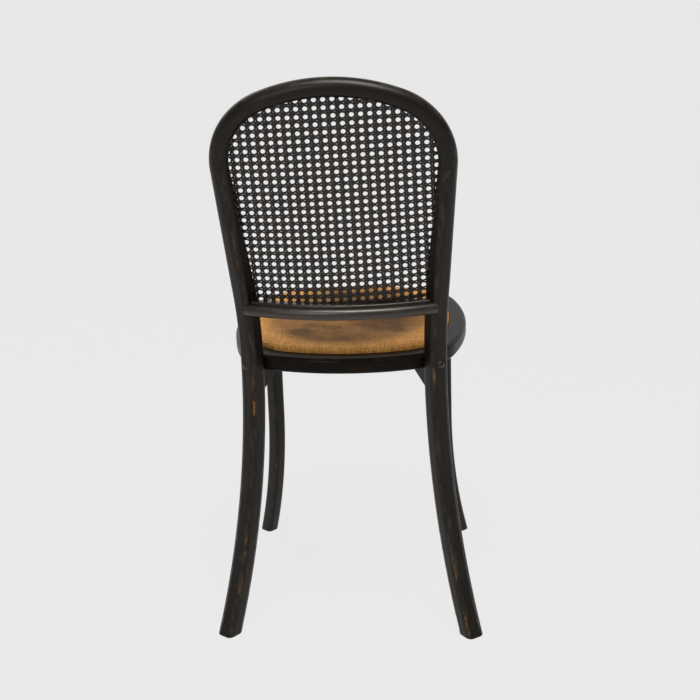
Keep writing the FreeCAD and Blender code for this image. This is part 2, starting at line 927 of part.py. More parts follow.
# A dowel at each end of the back rail, half in the leg.
dowels = []
for side, tag in SIDES:
    half_length = size("rail_dowel_length") / 2
    radius = rail_radius() + size("rail_dowel_setback")
    angle = math.radians(rail_half_angle() - size("rail_dowel_angle"))
    heading = Vector(side * math.cos(angle), -math.sin(angle), 0)
    middle = Vector(side * math.sin(angle), math.cos(angle), 0) * radius
    middle += Vector(0, rail_axis_y(), size("rail_height") - size("rail_dowel_drop"))
    start = middle - heading * half_length
    dowels.append(cylinder("rail_dowel_" + tag, along(start, heading),
                           "Sizes.rail_dowel_diameter / 2", "Sizes.rail_dowel_length"))
    hole = cylinder("rail_hole_" + tag, along(start - heading * size("dowel_end_gap"), heading),
                    "Sizes.rail_dowel_diameter / 2",
                    "Sizes.rail_dowel_length + 2 * Sizes.dowel_end_gap")
    leg_cuts[tag].append(hole)
    rail_cuts.append(hole)
nodes["back_rail_dowels"] = group("back_rail_dowels", dowels)

# Bolts through the rear legs and the ring, with washers, nuts and domed caps.
bolts = []
washers = []
nuts = []
caps = []
for side, tag in SIDES:
    direction = outward(side)
    inward = direction * -1
    head_seat = size("leg_width") / 2 - size("counterbore_depth")
    washer_seat = ring_inner_reach(side) + size("spotface_depth")
    nut_seat = washer_seat - size("washer_thickness")
    bolt_end = nut_seat - size("nut_height") - size("bolt_projection")
    bolt_length = str(head_seat - bolt_end)
    seat_point = on_bolt_line(side, head_seat, bolt_height)
    shank = cylinder("bolt_shank_" + tag, along(seat_point, inward),
                     "Sizes.bolt_diameter / 2", bolt_length)
    head = cylinder("bolt_head_" + tag, along(seat_point, direction),
                    "Sizes.bolt_head_diameter / 2", "Sizes.bolt_head_height")
    bolts.append(fuse("leg_bolt_" + tag, [shank, head]))
    passage = cylinder("bolt_passage_" + tag, along(seat_point, inward),
                       "Sizes.bolt_diameter / 2 + Sizes.bolt_clearance", bolt_length)
    counterbore = cylinder("counterbore_" + tag, along(seat_point, direction),
                           "Sizes.cap_diameter / 2", "Sizes.leg_width")
    leg_cuts[tag].append(fuse("leg_bolt_way_" + tag, [passage, counterbore]))
    spotface = cylinder("spotface_" + tag, along(on_bolt_line(side, washer_seat, bolt_height), inward),
                        "Sizes.washer_diameter / 2 + Sizes.bolt_clearance", "Sizes.ring_width")
    ring_cuts.append(fuse("ring_bolt_way_" + tag, [passage, spotface]))
    plate = cylinder("washer_plate_" + tag,
                     along(on_bolt_line(side, washer_seat, bolt_height), inward),
                     "Sizes.washer_diameter / 2", "Sizes.washer_thickness")
    washers.append(cut("bolt_washer_" + tag, plate, [passage]))
    block = primitive("Part::Prism", "nut_block_" + tag,
                      along(on_bolt_line(side, nut_seat, bolt_height), inward),
                      Circumradius="Sizes.nut_width / sqrt(3)", Height="Sizes.nut_height")
    nuts.append(cut("bolt_nut_" + tag, block, [passage]))
    cap_face = size("leg_width") / 2 - size("cap_sink")
    stem = cylinder("cap_stem_" + tag,
                    along(on_bolt_line(side, cap_face, bolt_height), inward),
                    "Sizes.cap_diameter / 2", "Sizes.cap_stem")
    dome_radius = ((size("cap_diameter") / 2) ** 2 + size("cap_dome") ** 2) / (2 * size("cap_dome"))
    dome_centre = on_bolt_line(side, cap_face + size("cap_dome") - dome_radius, bolt_height)
    ball = primitive("Part::Sphere", "cap_ball_" + tag, along(dome_centre, direction))
    ball.Radius = dome_radius
    column = cylinder("cap_column_" + tag,
                      along(on_bolt_line(side, cap_face, bolt_height), direction),
                      "Sizes.cap_diameter / 2", "Sizes.cap_diameter")
    dome = doc.addObject("Part::Common", "cap_dome_" + tag)
    dome.Base = column
    dome.Tool = ball
    caps.append(fuse("bolt_cap_" + tag, [stem, dome]))
nodes["leg_bolts"] = group("leg_bolts", bolts)
nodes["bolt_washers"] = group("bolt_washers", washers)
nodes["bolt_nuts"] = group("bolt_nuts", nuts)
nodes["bolt_caps"] = group("bolt_caps", caps)

# Blocks under the ring at the rear legs, each held by two screws.
bracket_screws = []
for side, tag in SIDES:
    inward = outward(side) * -1
    face = -size("leg_width") / 2
    slope = (size("bracket_drop") - size("bracket_tip")) / size("bracket_reach")
    up_point = on_bolt_line(side, -size("bracket_screw_reach"), ring_bottom
                            - size("bracket_drop") + slope * (size("bracket_screw_reach") + face)
                            + size("bracket_screw_sink"))
    side_height = ring_bottom - size("bracket_screw_drop")
    side_reach = face - (size("bracket_drop") - size("bracket_screw_drop")) / slope
    side_point = on_bolt_line(side, side_reach + size("bracket_screw_sink"), side_height)
    bracket_screws.append(screw("bracket_screw_up_" + tag, up_point, UP))
    bracket_screws.append(screw("bracket_screw_in_" + tag, side_point, outward(side)))
    up_bore = screw_bore("bracket_bore_up_" + tag, up_point, UP)
    in_bore = screw_bore("bracket_bore_in_" + tag, side_point, outward(side))
    blank = bracket_body(side, tag)
    name = "rear_bracket_" + tag
    nodes[name] = cut(name, blank, [leg_blanks[tag], up_bore, in_bore])
    ring_cuts.append(up_bore)
    leg_cuts[tag].append(in_bore)
nodes["bracket_screws"] = group("bracket_screws", bracket_screws)

# Front legs with round tenons that plug into the ring.
tenon_holes = []
for side, tag in SIDES:
    top = Vector(side * size("front_leg_half_spacing"), -size("front_leg_setback"), ring_bottom)
    leg = piece("front_leg_blank_" + tag, front_leg(side))
    tenon = cylinder("front_tenon_" + tag, along(top - UP * size("tenon_overlap"), UP),
                     "Sizes.tenon_diameter / 2", "Sizes.tenon_length + Sizes.tenon_overlap")
    name = "front_leg_" + tag
    nodes[name] = fuse(name, [leg, tenon])
    tenon_holes.append(cylinder("tenon_hole_" + tag, along(top, UP), "Sizes.tenon_diameter / 2",
                                "Sizes.tenon_length + Sizes.dowel_end_gap"))
ring_cuts += tenon_holes

# Board, its woven cover and the four screws that hold it from below.
rabbet_floor = size("ring_top") - size("rabbet_depth")
cover_inset = size("ring_width") - size("rabbet_width") + size("weave_clearance")
seat_top = size("ring_top") + size("seat_stand")
weave = size("weave_thickness")
shell = weave + size("board_clearance")
board = piece("board_blank", seat_block(cover_inset + shell, rabbet_floor, seat_top - shell,
                                        size("seat_edge_round") - shell))
cover = seat_block(cover_inset, rabbet_floor, seat_top, size("seat_edge_round"))
hollow = seat_block(cover_inset + weave, rabbet_floor, seat_top - weave,
                    size("seat_edge_round") - weave)
nodes["woven_seat"] = piece("woven_seat", cover.cut(hollow))
board_screws = []
board_bores = []
reach_x = size("seat_half_width") - size("board_screw_inset")
reach_y = size("seat_half_depth") - size("board_screw_inset")
for index, (x, y) in enumerate(((reach_x, 0), (0, reach_y), (-reach_x, 0), (0, -reach_y)), 1):
    point = seat_centre() + Vector(x, y, ring_bottom + size("screw_head_height"))
    shank = cylinder("board_shank_%d" % index, along(point, UP), "Sizes.screw_diameter / 2",
                     "Sizes.board_screw_length")
    head = cylinder("board_head_%d" % index, along(point, UP * -1),
                    "Sizes.screw_head_diameter / 2", "Sizes.screw_head_height")
    board_screws.append(fuse("board_screw_%d" % index, [shank, head]))
    board_bores.append(screw_bore("board_bore_%d" % index, point, UP, "Sizes.board_screw_length"))
nodes["seat_board_screws"] = group("seat_board_screws", board_screws)
nodes["seat_board"] = cut("seat_board", board, board_bores)
ring_cuts += board_bores

nodes["seat_ring"] = cut("seat_ring", ring_blank, list(leg_blanks.values()) + ring_cuts)
for side, tag in SIDES:
    name = "rear_leg_" + tag
    nodes[name] = cut(name, leg_blanks[tag], leg_cuts[tag] + [rabbet])
nodes["top_arch"] = cut("top_arch", piece("arch_blank", top_arch()), arch_cuts)
nodes["back_rail"] = cut("back_rail", rail_blank, list(leg_blanks.values()) + rail_cuts)
nodes["back_cane_panel"] = piece("back_cane_panel", cane_panel())
nodes["back_cane_bead"] = piece("back_cane_bead", cane_bead())
doc.recompute()

# The origin is the bottom centre of the whole chair.
outermost = [nodes[name].Shape.optimalBoundingBox(False)
             for name in ("top_arch", "rear_leg_left", "seat_ring", "front_leg_left")]
low = min(box.YMin for box in outermost)
high = max(box.YMax for box in outermost)
centring = Placement(Vector(0, -(low + high) / 2, 0), Rotation())
for item in nodes.values():
    item.Placement = centring.multiply(item.Placement)
doc.recompute()

for item in doc.Objects:
    if "Invalid" in item.State or "Error" in item.State:
        raise RuntimeError("not computed: " + item.Name)
os.makedirs("parts", exist_ok=True)
for name, item in nodes.items():
    item.Label = name
    if item.Shape.isNull() or not item.Shape.isValid():
        raise RuntimeError("bad shape: " + name)
    item.Shape.exportStep("parts/%s.step" % name)
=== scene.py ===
import math
import random

import bpy
import numpy as np
from mathutils import Matrix, Vector
from mathutils.bvhtree import BVHTree
from mathutils.geometry import convex_hull_2d


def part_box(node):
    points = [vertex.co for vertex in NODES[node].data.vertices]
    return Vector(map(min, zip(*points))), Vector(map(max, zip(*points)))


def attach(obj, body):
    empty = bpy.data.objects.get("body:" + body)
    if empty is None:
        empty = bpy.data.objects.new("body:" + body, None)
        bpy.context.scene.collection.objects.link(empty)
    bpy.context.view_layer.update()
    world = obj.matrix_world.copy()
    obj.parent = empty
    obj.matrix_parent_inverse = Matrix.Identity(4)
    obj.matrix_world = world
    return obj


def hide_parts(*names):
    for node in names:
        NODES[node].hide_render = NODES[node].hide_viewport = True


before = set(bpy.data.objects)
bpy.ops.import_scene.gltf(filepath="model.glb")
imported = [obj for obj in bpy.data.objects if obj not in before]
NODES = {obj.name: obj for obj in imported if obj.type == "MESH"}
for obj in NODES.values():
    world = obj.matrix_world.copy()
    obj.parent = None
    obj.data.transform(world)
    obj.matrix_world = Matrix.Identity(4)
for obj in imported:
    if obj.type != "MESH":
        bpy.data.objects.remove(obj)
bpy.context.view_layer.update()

# A black bentwood chair seen from behind: worn stained wood, six-way caning in the
# hoop and a fine golden twill on the drop-in seat.  Lengths are in metres.

MM = 0.001


# Camera, floor, backdrop and lamps

CAMERA_PLACE = Vector((-0.17606, 2.29132, 1.16612))
CAMERA_YAW = 0.0769
CAMERA_PITCH = 0.3166
CAMERA_ROLL = 0.0331
CAMERA_LENS = 75.64
CAMERA_SENSOR = 36.0
CHAIR_MIDDLE = Vector((0.0, 0.0, 0.5))


def set_camera():
    """The photograph's point of view, a little to the right of the chair's back."""
    data = bpy.data.cameras.new("camera")
    data.lens = CAMERA_LENS
    data.sensor_width = CAMERA_SENSOR
    data.clip_start = 0.05
    camera = bpy.data.objects.new("camera", data)
    bpy.context.scene.collection.objects.link(camera)
    level = Vector((math.sin(CAMERA_YAW), -math.cos(CAMERA_YAW), 0))
    side = level.cross(Vector((0, 0, 1)))
    ahead = level * math.cos(CAMERA_PITCH) - Vector((0, 0, 1)) * math.sin(CAMERA_PITCH)
    upward = side.cross(ahead)
    right = side * math.cos(CAMERA_ROLL) - upward * math.sin(CAMERA_ROLL)
    upward = upward * math.cos(CAMERA_ROLL) + side * math.sin(CAMERA_ROLL)
    turn = Matrix((right, upward, -ahead)).transposed().to_4x4()
    camera.matrix_world = Matrix.Translation(CAMERA_PLACE) @ turn
    bpy.context.scene.camera = camera


def softbox(name, place, width, depth, watts):
    """A large soft lamp that faces the middle of the chair."""
    data = bpy.data.lights.new(name, "AREA")
    data.shape = "RECTANGLE"
    data.size = width
    data.size_y = depth
    data.energy = watts
    lamp = bpy.data.objects.new(name, data)
    lamp.location = place
    lamp.rotation_euler = (CHAIR_MIDDLE - Vector(place)).to_track_quat("-Z", "Y").to_euler()
    bpy.context.scene.collection.objects.link(lamp)


# Materials: numbers that vary over a surface are written as sums

class Value:
    """A node's output, with arithmetic that adds Math nodes."""

    def __init__(self, finish, socket):
        self.finish = finish
        self.socket = socket

    def math(self, operation, first, second=0.0):
        return self.finish.node("ShaderNodeMath", {"operation": operation}, {0: first, 1: second})

    def __add__(self, other):
        return self.math("ADD", self, other)

    def __radd__(self, other):
        return self.math("ADD", other, self)

    def __sub__(self, other):
        return self.math("SUBTRACT", self, other)

    def __rsub__(self, other):
        return self.math("SUBTRACT", other, self)

    def __mul__(self, other):
        return self.math("MULTIPLY", self, other)

    def __rmul__(self, other):
        return self.math("MULTIPLY", other, self)

    def __truediv__(self, other):
        return self.math("DIVIDE", self, other)

    def __abs__(self):
        return self.math("ABSOLUTE", self)

    def over(self, other):
        """The larger of two numbers."""
        return self.math("MAXIMUM", self, other)

    def length_with(self, other):
        return self.math("SQRT", self * self + other * other)

    def angle_from(self, other):
        return self.math("ARCTAN2", self, other)

    def rise(self, low, high):
        """0 below low, 1 above high, and a smooth rise between."""
        return self.finish.node("ShaderNodeMapRange", {"interpolation_type": "SMOOTHSTEP"},
                                {"Value": self, "From Min": low, "From Max": high})


# The Mix node's sockets for colours, which share their names with its sockets for numbers

MIX_SHARE = 0
MIX_FIRST = 6
MIX_SECOND = 7
MIX_RESULT = 2


class Finish:
    """A node material while it is being made."""

    def __init__(self, name):
        self.material = bpy.data.materials.new(name)
        self.material.use_nodes = True
        self.tree = self.material.node_tree
        self.tree.nodes.clear()

    def node(self, kind, settings=None, sockets=None, output=0):
        """A node with its settings made first, then its sockets given values or links.

        output says which value comes back; several names bring back a list."""
        item = self.tree.nodes.new(kind)
        for name, value in (settings or {}).items():
            setattr(item, name, value)
        for name, value in (sockets or {}).items():
            if isinstance(value, Value):
                self.tree.links.new(value.socket, item.inputs[name])
            else:
                item.inputs[name].default_value = value
        if not item.outputs:
            return None
        if isinstance(output, tuple):
            return [Value(self, item.outputs[name]) for name in output]
        return Value(self, item.outputs[output])

    def place(self):
        """Where a point is in the object: x, y, z."""
        return self.parts(self.node("ShaderNodeTexCoord", output="Object"))

    def facing(self):
        """Which way the surface faces: x, y, z."""
        return self.parts(self.node("ShaderNodeTexCoord", output="Normal"))

    def parts(self, vector):
        return self.node("ShaderNodeSeparateXYZ", None, {"Vector": vector}, ("X", "Y", "Z"))

    def cloud(self, x, y, z, detail, roughness=0.5):
        """Soft noise, 0 to 1, read at x, y, z."""
        where = self.node("ShaderNodeCombineXYZ", None, {"X": x, "Y": y, "Z": z})
        return self.node("ShaderNodeTexNoise", None,
                         {"Vector": where, "Scale": 1.0, "Detail": detail, "Roughness": roughness})

    def speckle(self, place, per_metre, detail):
        """Noise with so many spots to a metre, alike in every direction."""
        x, y, z = place
        return self.cloud(x * per_metre, y * per_metre, z * per_metre, detail=detail)

    def mark(self, name):
        """A number kept at each point of the mesh."""
        return self.node("ShaderNodeAttribute", {"attribute_name": name}, output="Fac")

    def mix(self, first, second, share):
        """Two colours mixed; a colour is three numbers or a mixed colour."""
        colours = [value if isinstance(value, Value) else (*value, 1.0) for value in (first, second)]
        return self.node("ShaderNodeMix", {"data_type": "RGBA"},
                         {MIX_SHARE: share, MIX_FIRST: colours[0], MIX_SECOND: colours[1]},
                         output=MIX_RESULT)

    def bump(self, height, distance, strength):
        return self.node("ShaderNodeBump", None,
                         {"Height": height, "Distance": distance, "Strength": strength})

    def surface(self, **sockets):
        """Ends the material with one surface shader; underscores stand for spaces."""
        named = {name.replace("_", " "): value for name, value in sockets.items()}
        shader = self.node("ShaderNodeBsdfPrincipled", None, named)
        self.end(shader)
        return self.material

    def end(self, shader):
        self.node("ShaderNodeOutputMaterial", None, {"Surface": shader})


# Colours, as linear red, green and blue
STAIN_BLACK = (0.0062, 0.0050, 0.0040)
STAIN_BROWN = (0.022, 0.0135, 0.008)
RUBBED_WOOD = (0.22, 0.095, 0.032)
DUSTY_EDGE = (0.060, 0.046, 0.034)
CANE_BLACK = (0.0065, 0.0050, 0.0040)
CANE_BROWN = (0.036, 0.021, 0.013)
RATTAN_DEEP = (0.50, 0.20, 0.042)
RATTAN_PALE = (1.0, 0.56, 0.17)
# Painted shade on the rattan, under the crossings and toward the seat's middle
RATTAN_PAINTED_SHADE = (0.060, 0.026, 0.009)
BEECH = (0.42, 0.27, 0.14)
BEECH_DARK = (0.28, 0.16, 0.075)
CAP_LACQUER = (0.008, 0.0075, 0.007)
ZINC = (0.55, 0.55, 0.53)
ZINC_DULL = (0.32, 0.31, 0.28)
BACKGROUND = (0.828, 0.828, 0.828)
SATIN_TINT = (1.0, 0.90, 0.80, 1.0)

# How much dust hides of an exposed edge, and how strongly stained wood shines
DUST_COVER = 0.55
WOOD_SHEEN = 0.26


def stained_wood(name, lay, worn=1.0, sheen=WOOD_SHEEN):
    """Black stain over beech, thin enough for the grain, rubbed through along the edges.

    lay gives the distance along the grain, two across it, and how exposed a point is;
    worn is how much of the exposed wood is bare, sheen how strongly the surface shines."""
    finish = Finish(name)
    along, across, depth, exposed = lay(finish)

    def grain(lengthwise, crosswise, detail, roughness=0.5):
        """Noise drawn out along the grain, with so many spots to a metre each way."""
        return finish.cloud(along * lengthwise, across * crosswise, depth * crosswise,
                            detail=detail, roughness=roughness)

    figure = grain(lengthwise=7, crosswise=150, detail=4, roughness=0.6)
    pores = grain(lengthwise=60, crosswise=1100, detail=2)
    patches = grain(lengthwise=9, crosswise=14, detail=3)
    scuffs = grain(lengthwise=30, crosswise=120, detail=5, roughness=0.7)
    thin_stain = figure.rise(0.48, 0.74) * patches.rise(0.38, 0.66)
    body = finish.mix(STAIN_BLACK, STAIN_BROWN, thin_stain)
    dust = exposed.rise(0.30, 0.95) * scuffs.rise(0.44, 0.66) * DUST_COVER
    body = finish.mix(body, DUSTY_EDGE, dust)
    rubbed = exposed.rise(0.90, 1.0) * patches.rise(0.54, 0.66) * scuffs.rise(0.47, 0.57) * worn
    body = finish.mix(body, RUBBED_WOOD, rubbed)
    height = figure * 0.5 + pores * 0.35 - rubbed * 0.5
    return finish.surface(
        Base_Color=body,
        Roughness=0.30 + figure * 0.14 + rubbed * 0.2,
        Normal=finish.bump(height, distance=0.4 * MM, strength=0.40),
        Specular_IOR_Level=sheen,
        Specular_Tint=SATIN_TINT,
    )


def leg_lay(side, turn):
    """Grain up a leg; its four rounded corners are the exposed part."""
    lead_x = side * math.sin(turn)
    lead_y = math.cos(turn)

    def lay(finish):
        x, y, z = finish.place()
        facing_x, facing_y, _ = finish.facing()
        front = facing_x * lead_x + facing_y * lead_y
        aside = facing_x * lead_y - facing_y * lead_x
        corner = abs(front * aside) * 2
        return z, x, y, corner
    return lay


def hoop_lay(centre_height, radius):
    """Grain round the hoop; its outer side is the exposed part."""
    def lay(finish):
        x, y, z = finish.place()
        facing_x, _, facing_z = finish.facing()
        rise = z - centre_height
        reach = x.length_with(rise)
        along = x.angle_from(rise) * radius
        outward = (facing_x * x + facing_z * rise) / reach
        return along, reach, y, outward.over(0.0)
    return lay


def ring_lay(centre_y, radius):
    """Grain round the seat ring; its upper outer edge is the exposed part."""
    def lay(finish):
        x, y, z = finish.place()
        facing_x, facing_y, facing_z = finish.facing()
        forward = y - centre_y
        along = x.angle_from(forward) * radius
        reach = x.length_with(forward)
        outward = (facing_x * x + facing_y * forward) / reach
        edge = (outward * facing_z).over(0.0) * 2
        return along, reach, z, edge
    return lay


def rail_lay(finish):
    """Grain across the chair; the rail's upper and rear edges are exposed."""
    x, y, z = finish.place()
    _, facing_y, facing_z = finish.facing()
    return x, y, z, (facing_y * facing_z).over(0.0) * 2


def cane_finish():
    """Split cane, stained black: each strand has its own tone, with fine lines along it."""
    finish = Finish("black_cane")
    tone = finish.mark("strand_tone")
    along = finish.mark("strand_length")
    fibre = finish.speckle(finish.place(), per_metre=900, detail=2)
    wander = finish.cloud(along * 60, tone * 40, 0.0, detail=3)
    body = finish.mix(CANE_BLACK, CANE_BROWN, tone * 0.5 + wander.rise(0.35, 0.75) * 0.5)
    return finish.surface(
        Base_Color=body,
        Roughness=0.38 + fibre * 0.12,
        Normal=finish.bump(fibre, distance=0.12 * MM, strength=0.35),
        Specular_IOR_Level=0.5,
    )


def rattan_finish():
    """Golden strands, with painted shade where they dive under and patchy painted shade toward the
    seat's middle.
    """
    finish = Finish("golden_rattan")
    place = finish.place()
    x, y, _ = place
    low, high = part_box("woven_seat")
    middle = (low + high) / 2
    spread = (high - low) / 2
    from_middle = ((x - middle.x) / spread.x).length_with((y - middle.y) / spread.y)
    tone = finish.mark("strand_tone")
    along = finish.mark("strand_length")
    lift = finish.mark("strand_lift")
    fibre = finish.speckle(place, per_metre=1000, detail=2)
    wander = finish.cloud(along * 45, tone * 60, 0.0, detail=4)
    patches = finish.speckle(place, per_metre=16, detail=3)
    body = finish.mix(RATTAN_DEEP, RATTAN_PALE, tone * 0.2 + wander.rise(0.3, 0.8) * 0.8)
    # Painted shade: darker where a strand dives under the one across it.
    body = finish.mix(RATTAN_PAINTED_SHADE, body, lift.rise(-1.2, 0.6))
    # Painted shade, in patches, over the middle of the seat, fading out toward its edge.
    painted_shade = (1 - from_middle.rise(0.72, 0.98)) * (0.62 + patches.rise(0.35, 0.65) * 0.30)
    body = finish.mix(body, RATTAN_PAINTED_SHADE, painted_shade)
    return finish.surface(
        Base_Color=body,
        Roughness=0.40 + fibre * 0.15,
        Normal=finish.bump(fibre, distance=0.12 * MM, strength=0.35),
        Specular_IOR_Level=0.12,
    )


def beech_finish():
    """Bare beech of the board and the dowels, its grain across the chair."""
    finish = Finish("bare_beech")
    x, y, z = finish.place()
    figure = finish.cloud(x * 10, y * 160, z * 160, detail=4)
    flecks = finish.cloud(x * 150, y * 700, z * 700, detail=2)
    dark = figure.rise(0.4, 0.7) * 0.6 + flecks.rise(0.6, 0.7) * 0.4
    return finish.surface(
        Base_Color=finish.mix(BEECH, BEECH_DARK, dark),
        Roughness=0.5 + figure * 0.15,
        Normal=finish.bump(figure, distance=0.2 * MM, strength=0.3),
    )


def cap_finish():
    """Glossy black lacquer with faint dust."""
    finish = Finish("cap_lacquer")
    dust = finish.speckle(finish.place(), per_metre=500, detail=4)
    return finish.surface(
        Base_Color=finish.mix(CAP_LACQUER, STAIN_BROWN, dust.rise(0.55, 0.8)),
        Roughness=0.12 + dust * 0.12,
        Normal=finish.bump(dust, distance=0.1 * MM, strength=0.15),
    )


def steel_finish():
    """Zinc-plated steel with fine turning marks."""
    finish = Finish("plated_steel")
    x, y, z = finish.place()
    marks = finish.cloud(x * 300, y * 300, z * 2500, detail=3)
    return finish.surface(
        Base_Color=finish.mix(ZINC, ZINC_DULL, marks.rise(0.45, 0.75)),
        Metallic=1.0,
        Roughness=0.25 + marks * 0.2,
        Normal=finish.bump(marks, distance=0.05 * MM, strength=0.3),
    )


def studio_finish(name, shown):
    """Pale paper; the camera and shiny surfaces see a share of it as the backdrop's own grey."""
    finish = Finish(name)
    paper = finish.node("ShaderNodeBsdfDiffuse", None, {"Color": (*BACKGROUND, 1.0)})
    glow = finish.node("ShaderNodeEmission", None, {"Color": (*BACKGROUND, 1.0), "Strength": 1.0})
    camera, glossy, through = finish.node(
        "ShaderNodeLightPath", output=("Is Camera Ray", "Is Glossy Ray", "Is Transmission Ray"))
    share = camera.over(glossy).over(through) * shown
    finish.end(finish.node("ShaderNodeMixShader", None, {0: share, 1: paper, 2: glow}))
    return finish.material


def set_world(level):
    """Even light from all round."""
    world = bpy.data.worlds.new("studio")
    world.use_nodes = True
    background = world.node_tree.nodes["Background"]
    background.inputs["Color"].default_value = (1.0, 1.0, 1.0, 1.0)
    background.inputs["Strength"].default_value = level
    bpy.context.scene.world = world


# A strand's section: six corners, in widths across and thicknesses up

STRAND_SECTION = ((-0.5, 0.0), (-0.3, 0.5), (0.3, 0.5), (0.5, 0.0), (0.3, -0.5), (-0.3, -0.5))


class Weave:
    """Flat strands gathered into one mesh."""

    def __init__(self):
        self.rings = []
        self.quads = []
        self.ends = []
        self.tones = []
        self.lengths = []
        self.lifts = []
        self.count = 0

    def strand(self, centres, normals, width, thickness, tone, lift):
        """A strand through the centres, its flat sides square to the normals.

        lift is, at each centre, -1 where the strand dives under to 1 where it lies on top."""
        centres = np.array(centres)
        normals = np.array(normals)
        runs = np.gradient(centres, axis=0)
        runs /= np.linalg.norm(runs, axis=1, keepdims=True)
        aside = np.cross(runs, normals)
        aside /= np.linalg.norm(aside, axis=1, keepdims=True)
        upward = np.cross(aside, runs)
        section = np.array(STRAND_SECTION) * (width, thickness)
        ring = centres[:, None] + aside[:, None] * section[:, :1] + upward[:, None] * section[:, 1:]
        steps = len(centres)
        sides = len(section)
        numbers = self.count + np.arange(steps * sides).reshape(steps, sides)
        following = np.roll(numbers, -1, axis=1)
        quads = np.stack([numbers[:-1], numbers[1:], following[1:], following[:-1]], axis=-1)
        travelled = np.concatenate([[0.0], np.cumsum(np.linalg.norm(np.diff(centres, axis=0), axis=1))])
        self.rings.append(ring.reshape(-1, 3))
        self.quads.append(quads.reshape(-1, 4))
        self.ends.append(numbers[0].tolist())
        self.ends.append(numbers[-1][::-1].tolist())
        self.tones.append(np.full(steps * sides, tone))
        self.lengths.append(np.repeat(travelled, sides))
        self.lifts.append(np.repeat(lift, sides))
        self.count += steps * sides

    def make(self, name, material):
        """The mesh object, with each point's strand tone, place along its strand and lift."""
        faces = np.concatenate(self.quads).tolist() + self.ends
        mesh = bpy.data.meshes.new(name)
        mesh.from_pydata(np.concatenate(self.rings).tolist(), [], faces)
        marks = {
            "strand_tone": self.tones,
            "strand_length": self.lengths,
            "strand_lift": self.lifts,
        }
        for label, values in marks.items():
            mark = mesh.attributes.new(label, "FLOAT", "POINT")
            mark.data.foreach_set("value", np.concatenate(values).astype(np.float32))
        mesh.polygons.foreach_set("use_smooth", [True] * len(mesh.polygons))
        mesh.materials.append(material)
        item = bpy.data.objects.new(name, mesh)
        bpy.context.scene.collection.objects.link(item)
        return item


def node_points(name):
    return np.array([vertex.co[:] for vertex in NODES[name].data.vertices])


# Caning of the back: pairs up and across, single strands both ways on the slant.
# The lattice has an even pitch, and is then drawn out across and drawn in upward.

CANE_PITCH = 12.7 * MM
STRETCH_ACROSS = 1.026
STRETCH_UP = 0.932
CANE_WIDTH = 3.0 * MM
SLANT_WIDTH = 2.4 * MM
CANE_THICKNESS = 0.5 * MM
PAIR_HALF_GAP = 1.53 * MM
PAIR_WAVE = 0.45 * MM
SLANT_WAVE = 0.70 * MM
ROW_TURN = math.radians(2.1)
COLUMN_TURN = math.radians(1.0)
CANE_ORIGIN = (0.0, 0.700)
STEPS_PER_PITCH = 8
SHORTEST_CANE = CANE_PITCH / 4
CANE_SEED = 7

# The bowed sheet's depth is a sum of powers of height, with and without width squared

BOW_POWERS = 4
BOW_ROUNDS = 4
PER_DECIMETRE = 10
ALMOST_PARALLEL = 1e-12


class Bow:
    """The gently bowed sheet on which the caning lies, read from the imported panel."""

    def __init__(self):
        points = node_points("back_cane_panel")
        self.middle_z = points[:, 2].mean()
        self.factors = self.fit(points, np.full(len(points), True))
        for _ in range(BOW_ROUNDS):
            behind = points[:, 1] > self.depth(points[:, 0], points[:, 2])
            front = self.fit(points, ~behind)
            rear = self.fit(points, behind)
            self.factors = (front + rear) / 2

    def terms(self, x, z):
        rise = (z - self.middle_z) * PER_DECIMETRE
        powers = [rise ** power for power in range(BOW_POWERS)]
        widened = [power * (x * PER_DECIMETRE) ** 2 for power in powers]
        return np.stack(powers + widened, axis=-1)

    def fit(self, points, chosen):
        terms = self.terms(points[chosen, 0], points[chosen, 2])
        return np.linalg.lstsq(terms, points[chosen, 1], rcond=None)[0]

    def depth(self, x, z):
        return self.terms(x, z) @ self.factors

    def normal(self, x, z):
        step = 1 * MM
        slope_x = (self.depth(x + step, z) - self.depth(x - step, z)) / (2 * step)
        slope_z = (self.depth(x, z + step) - self.depth(x, z - step)) / (2 * step)
        normals = np.stack([-slope_x, np.ones_like(slope_x), -slope_z], axis=-1)
        return normals / np.linalg.norm(normals, axis=-1, keepdims=True)


def clip_line(outline, start, heading):
    """Where a line enters and leaves a convex outline, as distances along the line."""
    low = -math.inf
    high = math.inf
    following = np.roll(outline, -1, axis=0)
    for corner, after in zip(outline, following):
        edge = after - corner
        inward = np.array([-edge[1], edge[0]])
        gap = inward @ (corner - start)
        speed = inward @ heading
        if abs(speed) < ALMOST_PARALLEL:
            if gap > 0:
                return None
        elif speed > 0:
            low = max(low, gap / speed)
        else:
            high = min(high, gap / speed)
    return (low, high) if high - low > SHORTEST_CANE else None


